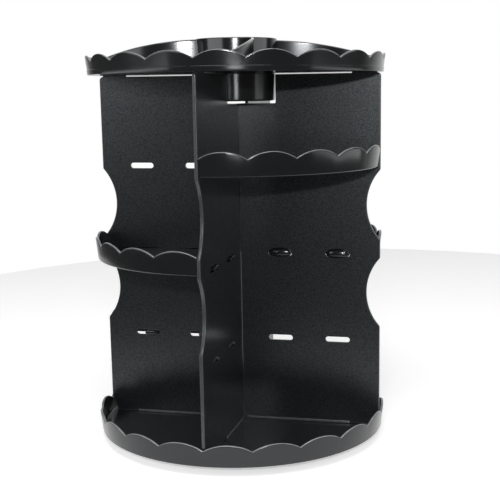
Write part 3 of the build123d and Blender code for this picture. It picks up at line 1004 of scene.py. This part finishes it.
# %% Finishes of the kept nodes
replaced = {"bottom_tray", "top_tray", *panels, *(f"tray_{bay}" for bay in bays)}
kept = [part for part in frame["record"]["subparts"] if part["node"] not in replaced]
for part in kept:
    mesh = frame["nodes"][part["node"]].data
    mesh.materials.clear()
    mesh.materials.append(finishes[part["material_slot"]])
print("kept nodes", len(kept))

# %% [markdown]
# ## The table
# The organizer stands on a white table. A plain white floor under plain light would look grey, and more light
# would fade the black plastic, so the table also glows, but only to the camera and to mirrored rays, through
# Light Path. Its own shading stays under the glow, which keeps the shadow. The table ends a little way in
# front of the organizer: beyond its edge the lower panels mirror the dim room.

# %% Table
table_radius = 620.0 * mm
table_front = 255.0 * mm
table_rings, table_spokes = 12, 64
table_seen, table_mirrored = 0.48, 0.36
white = (1.0, 1.0, 1.0, 1.0)


def seen_and_mirrored(tree):
    """Two Light Path masks: rays straight from the camera, and rays that were mirrored or let through."""
    path = tree.nodes.new("ShaderNodeLightPath").outputs
    return path["Is Camera Ray"], worked(tree, "MAXIMUM", path["Is Glossy Ray"], path["Is Transmission Ray"])


def make_table():
    """Flat disc at the table's height, set back so that only a little of it lies in front."""
    reach = np.linspace(0, table_radius, table_rings)[:, None]
    angle = np.linspace(0, 2 * np.pi, table_spokes, endpoint=False)[None, :]
    across, along = reach * np.cos(angle), table_radius - table_front + reach * np.sin(angle)
    points = np.stack([across, along, np.zeros_like(across)], -1).reshape(-1, 3)
    mesh = bpy.data.meshes.new("table")
    mesh.from_pydata(points.tolist(), [], grid_quads(table_rings, table_spokes, around=True).tolist())
    table = bpy.data.objects.new("table", mesh)
    bpy.context.scene.collection.objects.link(table)
    return table


table_paint = bpy.data.materials.new("white_table")
table_paint.use_nodes = True
tree = table_paint.node_tree
seen, mirrored = seen_and_mirrored(tree)
glow = worked(tree, "MULTIPLY_ADD", seen, table_seen, worked(tree, "MULTIPLY", mirrored, table_mirrored))
feed(
    tree, tree.nodes["Principled BSDF"], Base_Color=(0.90, 0.90, 0.90, 1.0), Roughness=0.8,
    Specular_IOR_Level=0.0, Emission_Color=white, Emission_Strength=glow,
)
make_table().data.materials.append(table_paint)
print("table", round(2 * table_radius / mm), "mm across")

# %% [markdown]
# ## The room
# Black plastic shows mostly what it reflects, so the room matters as much as the finish. Behind the
# organizer is a white backdrop, and the room behind the camera is dim, which keeps the fronts dark. The
# world holds three levels for this: white to the camera, from dim to white in mirrored rays, and a low even
# level as light.

# %% World
ambient_level = 0.18
room_level = 0.09
backdrop_level = 1.0
backdrop_start, backdrop_full = 0.55, 1.0

world = bpy.data.worlds.new("studio")
bpy.context.scene.world = world
world.use_nodes = True
tree = world.node_tree
ray = tree.nodes.new("ShaderNodeSeparateXYZ")
feed(tree, ray, Vector=tree.nodes.new("ShaderNodeTexCoord").outputs["Generated"])
backdrop = tree.nodes.new("ShaderNodeMapRange")
backdrop.interpolation_type = "SMOOTHSTEP"
feed(
    tree, backdrop, Value=ray.outputs["Y"], From_Min=backdrop_start, From_Max=backdrop_full,
    To_Min=room_level, To_Max=backdrop_level,
)
seen, mirrored = seen_and_mirrored(tree)
around = between(tree, mirrored, ambient_level, backdrop.outputs["Result"])
strength = between(tree, seen, around, backdrop_level)
feed(tree, tree.nodes["Background"], Color=white, Strength=strength)
print("surround", ambient_level, "as light,", room_level, "to", backdrop_level, "as mirrored")

# %% [markdown]
# ## The lamps
# One small bright lamp near the lens draws the crisp shadows of the trays and the highlights on the cup.
# Softboxes at the sides and above brighten the fins and the ends of the rims. The rims lean outwards and so
# mirror what is low down, which is why three narrow cards stand below the softboxes. Each light is given by
# the radiance that a mirror would show, so that size and brightness can be chosen apart.

# %% Lamps


def softbox(name, azimuth, elevation, distance, size, radiance):
    """Area light that looks at the middle of the organizer from an azimuth and an elevation.
    Its power is the wanted radiance times pi times its area."""
    light = bpy.data.objects.new(name, bpy.data.lights.new(name, "AREA"))
    light.data.shape = "RECTANGLE"
    light.data.size, light.data.size_y = size
    light.data.energy = radiance * np.pi * size[0] * size[1]
    light.visible_camera = False
    azimuth, elevation = np.radians(azimuth), np.radians(elevation)
    back = np.array([
        np.sin(azimuth) * np.cos(elevation), -np.cos(azimuth) * np.cos(elevation), np.sin(elevation)
    ])
    across = np.array([np.cos(azimuth), np.sin(azimuth), 0.0])
    middle = np.array([0.0, 0.0, (cad_low.z + cad_high.z) / 2])
    stand(light, middle + distance * back, across, np.cross(back, across), back)


# Azimuth and elevation in degrees, distance and size in metres, radiance
lamps = {
    "front_lamp": (13.0, 14.4, 0.98, (0.16, 0.02), 400.0),
    "low_card": (14.0, -1.2, 0.82, (0.13, 0.04), 15.0),
    "left_softbox": (-45.0, 16.5, 1.3, (1.1, 0.6), 2.6),
    "left_card": (-69.0, -4.9, 1.25, (1.7, 0.10), 2.5),
    "right_softbox": (85.0, 18.5, 1.3, (1.2, 0.6), 2.1),
    "right_card": (97.0, -4.9, 1.25, (1.2, 0.09), 1.9),
    "upper_softbox": (10.0, 62.0, 1.2, (0.8, 0.6), 5.0),
}
for name, values in lamps.items():
    softbox(name, *values)
bpy.context.scene.view_settings.view_transform = "Standard"
print("lights", list(lamps))
